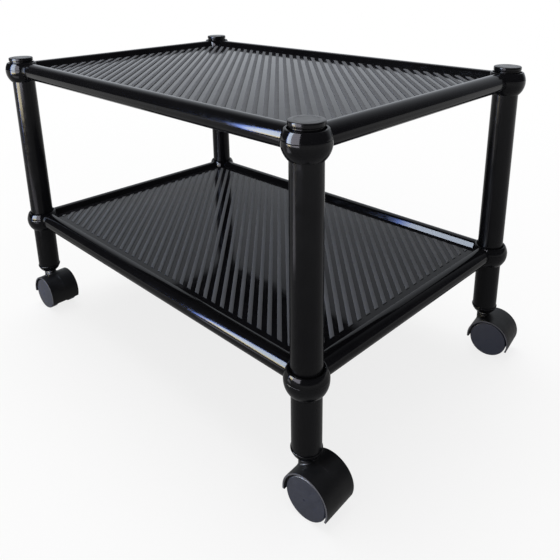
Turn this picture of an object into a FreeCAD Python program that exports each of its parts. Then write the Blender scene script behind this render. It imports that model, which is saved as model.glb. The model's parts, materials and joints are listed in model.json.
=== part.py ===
"""Two-tier household trolley: two moulded trays, tube posts, and four hooded twin-wheel casters.

Units are millimetres. +Z is up, +X runs along the long side of the trays, and the origin is
on the floor under the middle of the trays. Every separate piece is one solid in a file of its
own; the four grip rings are alike and share one file.
"""
import FreeCAD, Part
import math
import os

from FreeCAD import Placement, Rotation, Vector

# ---------------------------------------------------------------- driving dimensions
# Frame
post_spacing_x = 545.0      # between the post axes, along the trays
post_spacing_y = 355.0      # between the post axes, across the trays
tier_spacing = 226.0        # between the joint levels of the two trays
leg_drop = 86.9             # from the lower joint level down to the end face of a foot

# Tubes
tube_r = 15.0               # outer radius of every leg, and of every post at its upper end
post_foot_r = 15.5          # outer radius of a post at its lower shoulder
tube_bore_r = 12.7          # inner radius of the posts and legs
tube_chamfer = 0.5
plug_clearance = 0.1        # radial, between a plug and the tube it is driven into
plug_wall = 2.2
plug_length = 24.0          # how far a plug goes into the tube beyond the tray
plug_lead = 1.2             # chamfer at the end of a plug
post_floor = 3.0            # thickness of a post's shoulder above the tray

# Ball-shaped corner sockets of the trays
ball_r = 22.0
ball_rim_height = 11.5      # flat rim above the joint level
ball_foot_depth = 15.0      # lower edge of the ball below the joint level
rim_opening_r = 16.7        # mouth round a post or a cap
rim_chamfer = 0.7
seat_height = 1.0           # upper face of the inner ring, where posts and caps stand
seat_underside = -6.0       # lower face of that ring, which rests on the tube below
seat_clearance = 0.1        # radial, between a plug and the inner ring
tube_end_clearance = 0.2    # radial, between a tube's upper end and the ball

# Rails of a tray: a round outer side, a flat crest and an upright inner wall
rail_r = 11.0
rail_centre_inset = 1.5     # centre of the round side, inwards from the line of the posts
rail_crest_width = 7.0      # from that centre to the inner wall
rail_lip_round = 1.8
rail_wall = 2.4
rail_wrap_angle = 68.0      # how far the round side goes under the rail, from the horizontal
rail_inner_depth = 9.0      # inner wall below the joint level

# Deck of a tray, with raised diagonal treads and stiffening ribs below
deck_height = 3.0           # upper face above the joint level
deck_thickness = 2.5
tread_pitch = 15.0          # spacing of the treads, measured along a rail
tread_turn = 135.0          # direction of the treads, in degrees from +X
tread_width = 4.8
tread_flank = 0.4           # width of each sloping side
tread_height = 0.8
tread_inset = 1.2           # from the ends of the treads to the rails
brace_thickness = 1.8
brace_depth = 6.0
brace_spacing = 53.0        # about this far apart, in equal bays

# Caps on the upper corners
cap_top_height = 18.3       # above the upper joint level
cap_disc_r = 15.9
cap_disc_height = 4.4
cap_neck_r = 14.8
cap_edge_chamfer = 1.0
cap_top_wall = 3.0

# Feet of the legs, which hold the caster stems
foot_flange_r = 16.2
foot_flange_height = 2.2
foot_flange_chamfer = 0.5
foot_dome_depth = 8.5       # from the flange's underside to the end face
foot_dome_r = 13.8          # where the dome turns from its steep to its flat part
foot_dome_turn = 4.6        # and how far that is below the flange's underside
foot_end_r = 9.2
foot_plug_length = 27.0
foot_floor = 4.0            # below the ring-shaped recess of a foot
foot_sleeve_wall = 2.2
foot_socket_depth = 32.0

# Caster stems and their grip rings
stem_r = 5.5
stem_socket_r = 6.0
stem_length = 28.0          # above the flange
stem_chamfer = 1.0
stem_flange_r = 7.5
stem_flange_height = 1.4
stem_pin_r = 4.0            # lower part, on which the hood swivels
stem_head_r = 5.6
stem_head_height = 2.2
grip_groove_r = 4.6
grip_groove_length = 9.0
grip_groove_drop = 5.0      # from the stem's upper end to the groove
grip_ring_thickness = 0.9
grip_ring_clearance = 0.05  # radial, in the socket, and at each end in the groove
grip_ring_split = 2.0

# Wheels and axles
wheel_r = 23.5
wheel_inner_face = 9.2      # from the caster's middle plane to a wheel's inner face
wheel_outer_face = 19.0     # and to the edge of its outer face
wheel_crown = 2.0           # the outer face rises by this much in the middle
wheel_crown_r = 13.0        # and is flat out to this radius
wheel_edge_chamfer = 1.2
wheel_hub_r = 6.5
wheel_rim_thickness = 3.0
wheel_face_thickness = 3.2
wheel_dimple_r = 2.4
wheel_dimple_depth = 0.5
axle_r = 3.0
axle_clearance = 0.05       # radial, between a wheel and the axle
axle_reach = 16.6           # from the middle plane to the axle's end
axle_end_gap = 0.5
axle_chamfer = 0.5
axle_groove_place = 14.0    # the wheel snaps in here, from the middle plane
axle_groove_depth = 0.4
axle_groove_width = 2.2
axle_bead_width = 1.6

# Hoods
caster_trail = 14.0         # from the swivel axis back to the axle
hood_wall = 2.0
hood_clearance = 1.6        # radial, between the wheels and the hood
hood_side_reach = 2.4       # from the edge of a wheel's outer face to the hood's side
hood_edge_chamfer = 0.6
hood_front_angle = 192.0    # ends of the hood round the axle, from the rearward direction
hood_rear_angle = -38.0
hood_web_half = 2.2
hood_hub_r = 6.2
hood_axle_clearance = 0.02
hub_gap = 0.3               # axial, between the hood's hub and each wheel
boss_r = 8.2
boss_drop = 3.0             # lower face of the stem boss below the axle
boss_fillet = 2.0           # where the boss stands on the cover
swivel_clearance = 0.06     # radial, between the stem's pin and the boss
swivel_gap = 0.3            # axial, above and below the boss
stem_head_room = 0.6        # radial, between the stem's head and the hood's web
neck_height = 2.5           # from the top of the hood up to the end face of a foot

# How the casters are turned at rest: the direction they trail in, in degrees from +X
caster_turn = {"front_left": 3.0, "front_right": 4.0, "rear_right": 9.0, "rear_left": 173.0}

# ---------------------------------------------------------------- levels and places
hood_bore_r = wheel_r + hood_clearance
hood_r = hood_bore_r + hood_wall
hood_half_width = wheel_outer_face + hood_side_reach
axle_level = wheel_r
foot_end_level = axle_level + hood_r + neck_height
lower_joint = foot_end_level + leg_drop
upper_joint = lower_joint + tier_spacing

corners = {
    "front_left": Vector(-post_spacing_x / 2, -post_spacing_y / 2, 0),
    "front_right": Vector(post_spacing_x / 2, -post_spacing_y / 2, 0),
    "rear_right": Vector(post_spacing_x / 2, post_spacing_y / 2, 0),
    "rear_left": Vector(-post_spacing_x / 2, post_spacing_y / 2, 0),
}

plug_r = tube_bore_r - plug_clearance
plug_bore_r = plug_r - plug_wall
plug_end = seat_underside - plug_length

leg_foot_level = -leg_drop + foot_dome_depth + foot_flange_height

rail_inner_face = rail_centre_inset + rail_crest_width
deck_half_x = post_spacing_x / 2 - rail_inner_face
deck_half_y = post_spacing_y / 2 - rail_inner_face
brace_bays_x = round(post_spacing_x / brace_spacing)
brace_bays_y = round(post_spacing_y / brace_spacing)

stem_top = foot_end_level + stem_length
pin_top = foot_end_level - stem_flange_height
boss_top = pin_top - swivel_gap
boss_bottom = axle_level - boss_drop
head_top = boss_bottom - swivel_gap

origin = Vector(0, 0, 0)
up = Vector(0, 0, 1)
fine = 0.001                # two lengths closer than this are the same
samples = 7                 # points taken along an edge to tell where it runs


# ---------------------------------------------------------------- helpers
def outline(points, bends=()):
    """Close a wire through points. A point whose index is in bends is the middle of an arc."""
    edges = []
    i = 0
    while i < len(points):
        following = points[(i + 1) % len(points)]
        if i + 1 in bends:
            arc_end = points[(i + 2) % len(points)]
            edges.append(Part.Arc(points[i], following, arc_end).toShape())
            i += 2
        else:
            edges.append(Part.makeLine(points[i], following))
            i += 1
    return Part.Wire(edges)


def turned(points, bends=()):
    """Revolve an outline of (radius, height) points about +Z."""
    face = Part.Face(outline([Vector(r, 0, h) for r, h in points], bends))
    return face.revolve(origin, up, 360)


def cylinder(radius, bottom, top, centre=origin):
    return Part.makeCylinder(radius, top - bottom, centre + Vector(0, 0, bottom), up)


def block(x0, x1, y0, y1, z0, z1):
    return Part.makeBox(x1 - x0, y1 - y0, z1 - z0, Vector(x0, y0, z0))


def moved(shape, place, turn=0.0):
    """A copy of the shape, turned about +Z through its own origin and then shifted."""
    copy = shape.copy()
    copy.Placement = Placement(place, Rotation(up, turn)).multiply(shape.Placement)
    return copy


def write(name, shape):
    shape.exportStep(f"parts/{name}.step")


# ---------------------------------------------------------------- trays
def rail_sections():
    """Wires of a rail in (outward, up): the hollow wall, and the full outline for its webs."""
    wrap = math.radians(rail_wrap_angle)
    half_wrap = (math.pi / 2 - wrap) / 2
    bore_r = rail_r - rail_wall
    inner = -rail_crest_width

    def on_round(radius, angle):
        return Vector(radius * math.cos(angle), 0, radius * math.sin(angle))

    lip = rail_lip_round * (1 - math.sqrt(0.5))
    crest = [
        Vector(inner, 0, rail_r - rail_lip_round),
        Vector(inner + lip, 0, rail_r - lip),
        Vector(inner + rail_lip_round, 0, rail_r),
        Vector(0, 0, rail_r),
        on_round(rail_r, half_wrap),
        on_round(rail_r, -wrap),
    ]
    skirt = Vector(inner, 0, -rail_inner_depth)
    hollow = [
        on_round(bore_r, -wrap),
        on_round(bore_r, half_wrap),
        Vector(0, 0, bore_r),
        Vector(inner + rail_wall, 0, bore_r),
        Vector(inner + rail_wall, 0, -rail_inner_depth),
        skirt,
    ]
    return outline(crest + hollow, bends=(1, 4, 7)), outline(crest + [skirt], bends=(1, 4))


def rail(length, half_span, bays):
    """A rail centred on the origin along X, with its outer side towards -Y at half_span."""
    wall, full = rail_sections()
    webs = [(wall, -length / 2, length)]
    for i in range(1, bays):
        station = bay_station(i, bays, length)
        webs.append((full, station - brace_thickness / 2, brace_thickness))
    solids = []
    for wire, start, thickness in webs:
        face = Part.Face(wire)
        solid = face.extrude(Vector(0, thickness, 0))
        solid.translate(Vector(half_span - rail_centre_inset, start, 0))
        solids.append(solid)
    return [moved(solid, origin, -90) for solid in solids]


def bay_station(i, bays, length):
    return length * (i / bays - 0.5)


def treads():
    """Low diagonal strips on the deck, all cut to its outline."""
    half = tread_width / 2
    length = post_spacing_x + post_spacing_y
    sunk = deck_thickness / 2
    section = [
        Vector(0, -half, deck_height - sunk),
        Vector(0, -half, deck_height),
        Vector(0, -half + tread_flank, deck_height + tread_height),
        Vector(0, half - tread_flank, deck_height + tread_height),
        Vector(0, half, deck_height),
        Vector(0, half, deck_height - sunk),
    ]
    strip = Part.Face(outline(section)).extrude(Vector(length, 0, 0))
    strip.translate(Vector(-length / 2, 0, 0))
    count = math.ceil((deck_half_x + deck_half_y) / tread_pitch)
    places = [Vector(i * tread_pitch, 0, 0) for i in range(-count, count + 1)]
    strips = [moved(strip, place, tread_turn) for place in places]
    reach_x = deck_half_x - tread_inset
    reach_y = deck_half_y - tread_inset
    field = block(-reach_x, reach_x, -reach_y, reach_y, 0, 2 * deck_height)
    return [field.common(s) for s in strips if s.distToShape(field)[0] == 0]


def braces():
    """Crossed stiffening ribs under the deck, in line with the webs of the rails."""
    top = deck_height - deck_thickness / 2
    bottom = deck_height - deck_thickness - brace_depth
    end_x = deck_half_x + rail_wall / 2
    end_y = deck_half_y + rail_wall / 2
    half = brace_thickness / 2
    solids = []
    for i in range(1, brace_bays_x):
        x = bay_station(i, brace_bays_x, post_spacing_x)
        solids.append(block(x - half, x + half, -end_y, end_y, bottom, top))
    for i in range(1, brace_bays_y):
        y = bay_station(i, brace_bays_y, post_spacing_y)
        solids.append(block(-end_x, end_x, y - half, y + half, bottom, top))
    return solids


def ball():
    """The outside of a corner socket, still without its bores."""
    below_rim = ball_rim_height - rim_chamfer
    shoulder_r = math.sqrt(ball_r ** 2 - below_rim ** 2)
    return turned(
        [
            (0, -ball_foot_depth),
            (math.sqrt(ball_r ** 2 - ball_foot_depth ** 2), -ball_foot_depth),
            (ball_r, 0),
            (shoulder_r, below_rim),
            (shoulder_r - 2 * rim_chamfer, ball_rim_height),
            (0, ball_rim_height),
        ],
        bends=(2,),
    )


def ball_bores(centre):
    plug_hole = plug_r + seat_clearance
    tube_hole = tube_r + tube_end_clearance
    return [
        cylinder(rim_opening_r, seat_height, ball_r, centre),
        cylinder(plug_hole, seat_underside, seat_height, centre),
        cylinder(tube_hole, -ball_r, seat_underside, centre),
    ]


def make_tray():
    """One moulding: deck, treads, ribs, four hollow rails and four corner sockets."""
    grip = rail_wall / 2
    deck = block(
        -deck_half_x - grip, deck_half_x + grip, -deck_half_y - grip, deck_half_y + grip,
        deck_height - deck_thickness, deck_height,
    )
    long_rail = rail(post_spacing_x, post_spacing_y / 2, brace_bays_x)
    short_rail = rail(post_spacing_y, post_spacing_x / 2, brace_bays_y)
    pieces = treads() + braces()
    pieces += long_rail + [moved(s, origin, 180) for s in long_rail]
    pieces += [moved(s, origin, 90) for s in short_rail]
    pieces += [moved(s, origin, -90) for s in short_rail]
    pieces += [moved(ball(), place) for place in corners.values()]
    tray = deck.multiFuse(pieces)
    bores = []
    for place in corners.values():
        bores += ball_bores(place)
    return tray.cut(bores).removeSplitter()


# ---------------------------------------------------------------- posts, legs and caps
def make_post():
    """Tapered tube with a spigot below; heights are from the lower joint level."""
    top = tier_spacing + seat_underside
    bore_floor = seat_height + post_floor
    return turned([
        (plug_bore_r, plug_end),
        (plug_r - plug_lead / 2, plug_end),
        (plug_r, plug_end + plug_lead),
        (plug_r, seat_height),
        (post_foot_r - tube_chamfer, seat_height),
        (post_foot_r, seat_height + tube_chamfer),
        (tube_r, top - tube_chamfer),
        (tube_r - tube_chamfer, top),
        (tube_bore_r, top),
        (tube_bore_r, bore_floor + tube_bore_r - plug_bore_r),
        (plug_bore_r, bore_floor),
    ])


def make_leg():
    """Tube under a lower corner; heights are from the lower joint level."""
    return turned([
        (tube_bore_r, leg_foot_level),
        (tube_r, leg_foot_level),
        (tube_r, seat_underside - tube_chamfer),
        (tube_r - tube_chamfer, seat_underside),
        (tube_bore_r, seat_underside),
    ])


def make_cap():
    """Mushroom cap with a hollow plug; heights are from the upper joint level."""
    disc_foot = cap_top_height - cap_disc_height
    return turned([
        (plug_bore_r, plug_end),
        (plug_r - plug_lead / 2, plug_end),
        (plug_r, plug_end + plug_lead),
        (plug_r, seat_height),
        (cap_neck_r, seat_height),
        (cap_neck_r, disc_foot - (cap_disc_r - cap_neck_r)),
        (cap_disc_r, disc_foot),
        (cap_disc_r, cap_top_height - cap_edge_chamfer),
        (cap_disc_r - cap_edge_chamfer, cap_top_height),
        (0, cap_top_height),
        (0, cap_top_height - cap_top_wall),
        (plug_bore_r, cap_top_height - cap_top_wall),
    ])


def make_foot():
    """Domed end of a leg with the stem's socket; heights are from the lower joint level."""
    end = -leg_drop
    flange_under = end + foot_dome_depth
    plug_top = leg_foot_level + foot_plug_length
    sleeve_r = stem_socket_r + foot_sleeve_wall
    socket_top = end + foot_socket_depth
    return turned([
        (stem_socket_r, end),
        (foot_end_r, end),
        (foot_dome_r, flange_under - foot_dome_turn),
        (foot_flange_r - foot_flange_chamfer, flange_under),
        (foot_flange_r, flange_under + foot_flange_chamfer),
        (foot_flange_r, leg_foot_level - foot_flange_chamfer),
        (foot_flange_r - foot_flange_chamfer, leg_foot_level),
        (plug_r, leg_foot_level),
        (plug_r, plug_top - plug_lead),
        (plug_r - plug_lead / 2, plug_top),
        (plug_bore_r, plug_top),
        (plug_bore_r, flange_under + foot_floor),
        (sleeve_r, flange_under + foot_floor),
        (sleeve_r, socket_top + foot_sleeve_wall),
        (0, socket_top + foot_sleeve_wall),
        (0, socket_top),
        (stem_socket_r, socket_top),
    ])


# ---------------------------------------------------------------- casters
def make_stem():
    """Steel stem: gripped by the foot above its flange, swivel pin and head below."""
    groove_top = stem_top - grip_groove_drop
    return turned([
        (0, head_top - stem_head_height),
        (stem_head_r - stem_chamfer, head_top - stem_head_height),
        (stem_head_r, head_top - stem_head_height + stem_chamfer),
        (stem_head_r, head_top),
        (stem_pin_r, head_top),
        (stem_pin_r, pin_top),
        (stem_flange_r, pin_top),
        (stem_flange_r, foot_end_level),
        (stem_r, foot_end_level),
        (stem_r, groove_top - grip_groove_length),
        (grip_groove_r, groove_top - grip_groove_length),
        (grip_groove_r, groove_top),
        (stem_r, groove_top),
        (stem_r, stem_top - stem_chamfer),
        (stem_r - stem_chamfer, stem_top),
        (0, stem_top),
    ])


def make_grip_ring():
    """Split spring ring in the groove of a stem."""
    outer_r = stem_socket_r - grip_ring_clearance
    top = stem_top - grip_groove_drop - grip_ring_clearance
    bottom = top - grip_groove_length + 2 * grip_ring_clearance
    ring = cylinder(outer_r, bottom, top).cut(cylinder(outer_r - grip_ring_thickness, bottom, top))
    half = grip_ring_split / 2
    return ring.cut(block(0, 2 * outer_r, -half, half, bottom, top))


def sideways(shape):
    """Lay a shape that was turned about +Z along the axle of an unturned caster."""
    laid = shape.copy()
    tilt = Rotation(Vector(1, 0, 0), -90)
    laid.Placement = Placement(Vector(caster_trail, 0, axle_level), tilt).multiply(shape.Placement)
    return laid


def make_wheel():
    """One wheel of a pair, turned about its axle, with +Z pointing away from the hood's web."""
    bore_r = axle_r + axle_clearance
    bead_r = bore_r - axle_groove_depth
    bead_half = axle_bead_width / 2
    face_inside = wheel_outer_face - wheel_face_thickness
    rim_bore_r = wheel_r - wheel_rim_thickness
    edge_r = wheel_r - wheel_edge_chamfer
    bore_end = axle_reach + axle_end_gap
    crown = wheel_outer_face + wheel_crown
    return turned([
        (bore_r, wheel_inner_face),
        (wheel_hub_r, wheel_inner_face),
        (wheel_hub_r, face_inside),
        (rim_bore_r, face_inside),
        (rim_bore_r, wheel_inner_face),
        (edge_r, wheel_inner_face),
        (wheel_r, wheel_inner_face + wheel_edge_chamfer),
        (wheel_r, wheel_outer_face - wheel_edge_chamfer),
        (edge_r, wheel_outer_face),
        (wheel_crown_r, crown),
        (wheel_dimple_r, crown),
        (wheel_dimple_r, crown - wheel_dimple_depth),
        (0, crown - wheel_dimple_depth),
        (0, bore_end),
        (bore_r, bore_end),
        (bore_r, axle_groove_place + bead_half),
        (bead_r, axle_groove_place + bead_half),
        (bead_r, axle_groove_place - bead_half),
        (bore_r, axle_groove_place - bead_half),
    ])


def make_axle():
    """Steel axle, turned about +Z, with a groove for each wheel."""
    half = [
        (axle_r, axle_groove_place - axle_groove_width / 2),
        (axle_r - axle_groove_depth, axle_groove_place - axle_groove_width / 2),
        (axle_r - axle_groove_depth, axle_groove_place + axle_groove_width / 2),
        (axle_r, axle_groove_place + axle_groove_width / 2),
        (axle_r, axle_reach - axle_chamfer),
        (axle_r - axle_chamfer, axle_reach),
        (0, axle_reach),
    ]
    return turned([(r, -h) for r, h in reversed(half)] + half)


def around_axle(radius, angle):
    """A point of the hood's side view, at a distance and angle from the axle."""
    turn = math.radians(angle)
    return Vector(
        caster_trail + radius * math.cos(turn), 0, axle_level + radius * math.sin(turn)
    )


def hood_shell():
    """The curved cover over both wheels, open in front, below and at the sides."""
    shoulder_r = hood_r - hood_edge_chamfer
    shoulder_y = hood_half_width - hood_edge_chamfer
    section = [
        Vector(hood_bore_r, 0, -hood_half_width),
        Vector(shoulder_r, 0, -hood_half_width),
        Vector(hood_r, 0, -shoulder_y),
        Vector(hood_r, 0, shoulder_y),
        Vector(shoulder_r, 0, hood_half_width),
        Vector(hood_bore_r, 0, hood_half_width),
    ]
    face = Part.Face(outline(section))
    sweep = hood_front_angle - hood_rear_angle
    shell = face.revolve(origin, up, sweep)
    # The section lies along +X of the axle's own frame, which sideways() turns to face rearward.
    shell.rotate(origin, up, -hood_front_angle)
    return sideways(shell)


def hood_web():
    """The plate between the wheels, from the cover down to the axle."""
    reach = hood_r - hood_wall / 2
    middle = (hood_front_angle + hood_rear_angle) / 2
    side = [
        Vector(caster_trail, 0, axle_level),
        around_axle(reach, hood_rear_angle),
        around_axle(reach, middle),
        around_axle(reach, hood_front_angle),
    ]
    plate = Part.Face(outline(side, bends=(2,))).extrude(Vector(0, 2 * hood_web_half, 0))
    plate.translate(Vector(0, -hood_web_half, 0))
    return plate


def fillet_boss(hood):
    """Round the corner between the stem's boss and the outside of the cover."""
    def on_corner(point):
        from_pin = math.hypot(point.x, point.y)
        from_axle = math.hypot(point.x - caster_trail, point.z - axle_level)
        return abs(from_pin - boss_r) < fine and abs(from_axle - hood_r) < fine

    corner = [edge for edge in hood.Edges if all(map(on_corner, edge.discretize(samples)))]
    return hood.makeFillet(boss_fillet, corner)


def make_hood():
    """Hood of a caster that trails towards +X, with its swivel axis on the origin."""
    hub_half = wheel_inner_face - hub_gap
    hub = sideways(cylinder(hood_hub_r, -hub_half, hub_half))
    boss = cylinder(boss_r, boss_bottom, boss_top)
    hood = hood_shell().multiFuse([hood_web(), hub, boss]).removeSplitter()
    hood = fillet_boss(hood)
    axle_hole = sideways(cylinder(axle_r + hood_axle_clearance, -hood_r, hood_r))
    pin_hole = cylinder(stem_pin_r + swivel_clearance, 0, foot_end_level)
    head_room = cylinder(stem_head_r + stem_head_room, 0, boss_bottom)
    return hood.cut([axle_hole, pin_hole, head_room]).removeSplitter()


# ---------------------------------------------------------------- the whole trolley
def main():
    os.makedirs("parts", exist_ok=True)

    tray = make_tray()
    write("bottom_tray", moved(tray, Vector(0, 0, lower_joint)))
    write("top_tray", moved(tray, Vector(0, 0, upper_joint)))

    post = make_post()
    leg = make_leg()
    cap = make_cap()
    foot = make_foot()
    stem = make_stem()
    hood = make_hood()
    axle = sideways(make_axle())
    right_wheel = sideways(make_wheel())
    left_wheel = right_wheel.mirror(origin, Vector(0, 1, 0))
    grip_rings = []

    for name, place in corners.items():
        turn = caster_turn[name]
        low = place + Vector(0, 0, lower_joint)
        high = place + Vector(0, 0, upper_joint)
        write(f"{name}_post", moved(post, low))
        write(f"{name}_leg", moved(leg, low))
        write(f"{name}_cap", moved(cap, high))
        write(f"{name}_foot", moved(foot, low))
        write(f"{name}_stem", moved(stem, place))
        write(f"{name}_hood", moved(hood, place, turn))
        write(f"{name}_axle", moved(axle, place, turn))
        write(f"{name}_left_wheel", moved(left_wheel, place, turn))
        write(f"{name}_right_wheel", moved(right_wheel, place, turn))
        grip_rings.append(moved(make_grip_ring(), place, turn))
    write("grip_rings", Part.makeCompound(grip_rings))


main()
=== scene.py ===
# %% [markdown]
# # Dressing a two-tier trolley
#
# The trolley is a knock-down product in black plastic: two moulded trays with round rails and
# ball-shaped corners, tubes that plug into them, and hooded twin-wheel casters below. A packed
# CAD model already says where every part is and how it moves. This lesson keeps its hidden
# steel parts, gives them better finishes, and builds smooth, detailed pieces over the others.

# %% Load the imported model
import json
import math

import bmesh
import bpy
from mathutils import Matrix, Vector


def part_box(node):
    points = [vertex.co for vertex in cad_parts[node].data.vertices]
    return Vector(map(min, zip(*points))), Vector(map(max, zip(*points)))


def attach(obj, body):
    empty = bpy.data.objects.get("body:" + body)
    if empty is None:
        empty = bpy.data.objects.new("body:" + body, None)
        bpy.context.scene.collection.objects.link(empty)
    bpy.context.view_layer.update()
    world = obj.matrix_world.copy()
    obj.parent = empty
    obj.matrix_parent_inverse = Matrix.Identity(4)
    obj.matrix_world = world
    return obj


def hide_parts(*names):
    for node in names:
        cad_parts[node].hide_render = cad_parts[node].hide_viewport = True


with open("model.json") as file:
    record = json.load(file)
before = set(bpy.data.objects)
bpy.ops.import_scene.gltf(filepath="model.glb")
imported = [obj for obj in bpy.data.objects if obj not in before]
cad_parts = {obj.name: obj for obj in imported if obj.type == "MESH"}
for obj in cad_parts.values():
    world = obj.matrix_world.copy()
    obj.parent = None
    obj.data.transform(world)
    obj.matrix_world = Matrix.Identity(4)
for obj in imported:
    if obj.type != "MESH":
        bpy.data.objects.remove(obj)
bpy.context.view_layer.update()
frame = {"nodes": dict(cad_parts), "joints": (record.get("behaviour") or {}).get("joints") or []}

# %% [markdown]
# ## Where things are
#
# Blender works in metres and the shop drawings of such parts are in millimetres, so one value
# turns one into the other. The places of corners and trays could be typed in, but then they
# would be wrong as soon as the CAD model changes. They are read from the frame instead, so
# nothing is placed by eye.

# %% Corners and levels, read from the frame
mm = 0.001
corner_names = ("front_left", "front_right", "rear_right", "rear_left")
ball_foot_depth = 15.0         # the lower edge of a corner ball, below the level of its joint


def middle(node_name):
    low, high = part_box(node_name)
    return (low + high) / 2


def joint_level(tray):
    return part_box(tray)[0].z + ball_foot_depth * mm


corners = {name: middle(f"{name}_post") for name in corner_names}
levels = {tray: joint_level(tray) for tray in ("bottom_tray", "top_tray")}
joints = {joint["name"]: joint for joint in frame["joints"]}
span_x = 2 * corners["front_right"].x / mm
span_y = 2 * corners["rear_right"].y / mm
print("post axes:", round(span_x, 2), "by", round(span_y, 2), "mm")
print("joint levels:", [round(level / mm, 2) for level in levels.values()])

# %% [markdown]
# ## From a bmesh to a finished piece
#
# Every piece ends in the same way: its faces are made to point outwards, it becomes an object
# at the origin with its place in its mesh, it shades smoothly except across real creases, and
# it is tied to the CAD body that carries it. One function does that, so no step is forgotten.
# A few pieces have two finishes. Their faces with material index 1 get the second one.

# %% A helper that finishes a piece
crease_angle = math.radians(38)


def finish_piece(name, bm, finish, body, slot, *nodes, second_finish=None):
    bmesh.ops.recalc_face_normals(bm, faces=bm.faces)
    mesh = bpy.data.meshes.new(name)
    bm.to_mesh(mesh)
    bm.free()
    mesh.materials.append(finish)
    if second_finish is not None:
        mesh.materials.append(second_finish)
    mesh.shade_smooth()
    mesh.set_sharp_from_angle(angle=crease_angle)
    piece = bpy.data.objects.new(name, mesh)
    bpy.context.scene.collection.objects.link(piece)
    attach(piece, body)
    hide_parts(*nodes)
    print(name, "has", len(mesh.polygons), "faces")


# %% [markdown]
# ## Turned shapes
#
# Tubes, caps, balls, feet and wheels are all round, so each is one closed outline spun about an
# axis. Cylinders and spheres joined with booleans would also do, but they leave ragged edges
# where they meet. The outline is drawn as a few (radius, height) points. Corners that a mould
# would round are softened with a vertex bevel while the outline is still flat, which is cheaper
# and cleaner than bevelling the finished solid.

# %% Draw an outline
def outline(bm, points, rounds=(), steps=4):
    """A closed wire through (radius, height) points in mm; rounds holds (index, size) pairs."""
    ring = [bm.verts.new((radius * mm, 0, height * mm)) for radius, height in points]
    for start, end in zip(ring, ring[1:] + ring[:1]):
        bm.edges.new((start, end))
    for index, size in rounds:
        bmesh.ops.bevel(
            bm, geom=[ring[index]], offset=size * mm, offset_type="OFFSET", segments=steps,
            profile=0.5, affect="VERTICES", material=-1,
        )


def arc(centre, radius, start, end, steps):
    """Points of an arc in an outline, from one angle to the other, in degrees."""
    turns = [math.radians(start + (end - start) * i / steps) for i in range(steps + 1)]
    return [(centre[0] + radius * math.cos(t), centre[1] + radius * math.sin(t)) for t in turns]


print("a quarter circle in 2 steps:", arc((0, 0), 1, 0, 90, 2))

# %% Spin it and put it in its place
weld_distance = 1e-6           # in metres: points that are nearer than this are one point
least_length = 1e-7            # in metres: an edge that is shorter is dissolved


def turned(points, rounds=(), steps=96):
    bm = bmesh.new()
    outline(bm, points, rounds)
    bmesh.ops.spin(
        bm, geom=bm.verts[:] + bm.edges[:], cent=(0, 0, 0), axis=(0, 0, 1), dvec=(0, 0, 0),
        angle=math.tau, steps=steps, use_merge=True, use_duplicate=False,
    )
    bmesh.ops.remove_doubles(bm, verts=bm.verts, dist=weld_distance)
    bmesh.ops.dissolve_degenerate(bm, dist=least_length, edges=bm.edges)
    return bm


def place(bm, where):
    bmesh.ops.translate(bm, vec=where, verts=bm.verts)
    return bm


def turn_about_z(bm, degrees):
    turn = Matrix.Rotation(math.radians(degrees), 3, "Z")
    bmesh.ops.rotate(bm, cent=(0, 0, 0), matrix=turn, verts=bm.verts)


# %% [markdown]
# ## Plastic finishes
#
# All the plastics here are a dark base under a clear specular layer, and they differ in how the
# mould was finished. Polished faces keep a very faint ripple, so a reflection wavers a little.
# Textured faces have a fine grain, which is what makes them grey and dull beside the polished
# ones. A painted texture would have to be unwrapped onto every shape. Noise in real-world scale
# needs no unwrapping, has no seams, and looks the same on every piece. First come the few nodes
# that every finish is put together from.

# %% Helpers for node trees
noise_range = (0.3, 0.7)       # noise stays near its middle, so this much of it is used


def node(tree, kind, **inputs):
    made = tree.nodes.new(kind)
    for name, value in inputs.items():
        made.inputs[name.replace("_", " ")].default_value = value
    return made


def noise(tree, size, detail):
    """Noise whose blobs are about size mm across, the same on every piece."""
    place_on_piece = tree.nodes.new("ShaderNodeTexCoord")
    grain = node(tree, "ShaderNodeTexNoise", Scale=1 / (size * mm), Detail=detail, Roughness=0.55)
    tree.links.new(place_on_piece.outputs["Object"], grain.inputs["Vector"])
    return grain.outputs["Fac"]


def ramp(tree, source, source_range, low, high):
    """Turn a range of values into another one, which starts at low and ends at high."""
    start, end = source_range
    spread = node(
        tree, "ShaderNodeMapRange",
        **{"From_Min": start, "From_Max": end, "To_Min": low, "To_Max": high},
    )
    tree.links.new(source, spread.inputs["Value"])
    return spread.outputs["Result"]


def bump(tree, source, height, below=None):
    """Raise the surface by up to height mm, on top of the bump below it, if there is one."""
    made = node(tree, "ShaderNodeBump", Strength=1.0, Distance=height * mm)
    tree.links.new(source, made.inputs["Height"])
    if below is not None:
        tree.links.new(below, made.inputs["Normal"])
    return made.outputs["Normal"]


# %% [markdown]
# One function builds every plastic. A large noise blends two shades of the base, a smaller one
# drives the roughness between two values, and two more make the ripple and the grain. The
# refractive index is the same all over, so it is set on the shader's own socket.

# %% A function for plastic finishes
shade_blobs = 60               # mm across
gloss_blobs = 9                # mm across


def start_finish(name, dark, light, blobs, detail):
    """A new material whose base colour wanders between two shades, and its node tree."""
    finish = bpy.data.materials.new(name)
    finish.use_nodes = True
    tree = finish.node_tree
    blend = node(tree, "ShaderNodeMix")
    blend.data_type = "RGBA"
    blend.inputs["A"].default_value = (*dark, 1)
    blend.inputs["B"].default_value = (*light, 1)
    share = ramp(tree, noise(tree, blobs, detail), noise_range, low=0, high=1)
    tree.links.new(share, blend.inputs["Factor"])
    tree.links.new(blend.outputs["Result"], tree.nodes["Principled BSDF"].inputs["Base Color"])
    print("finish", name)
    return finish, tree


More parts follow.
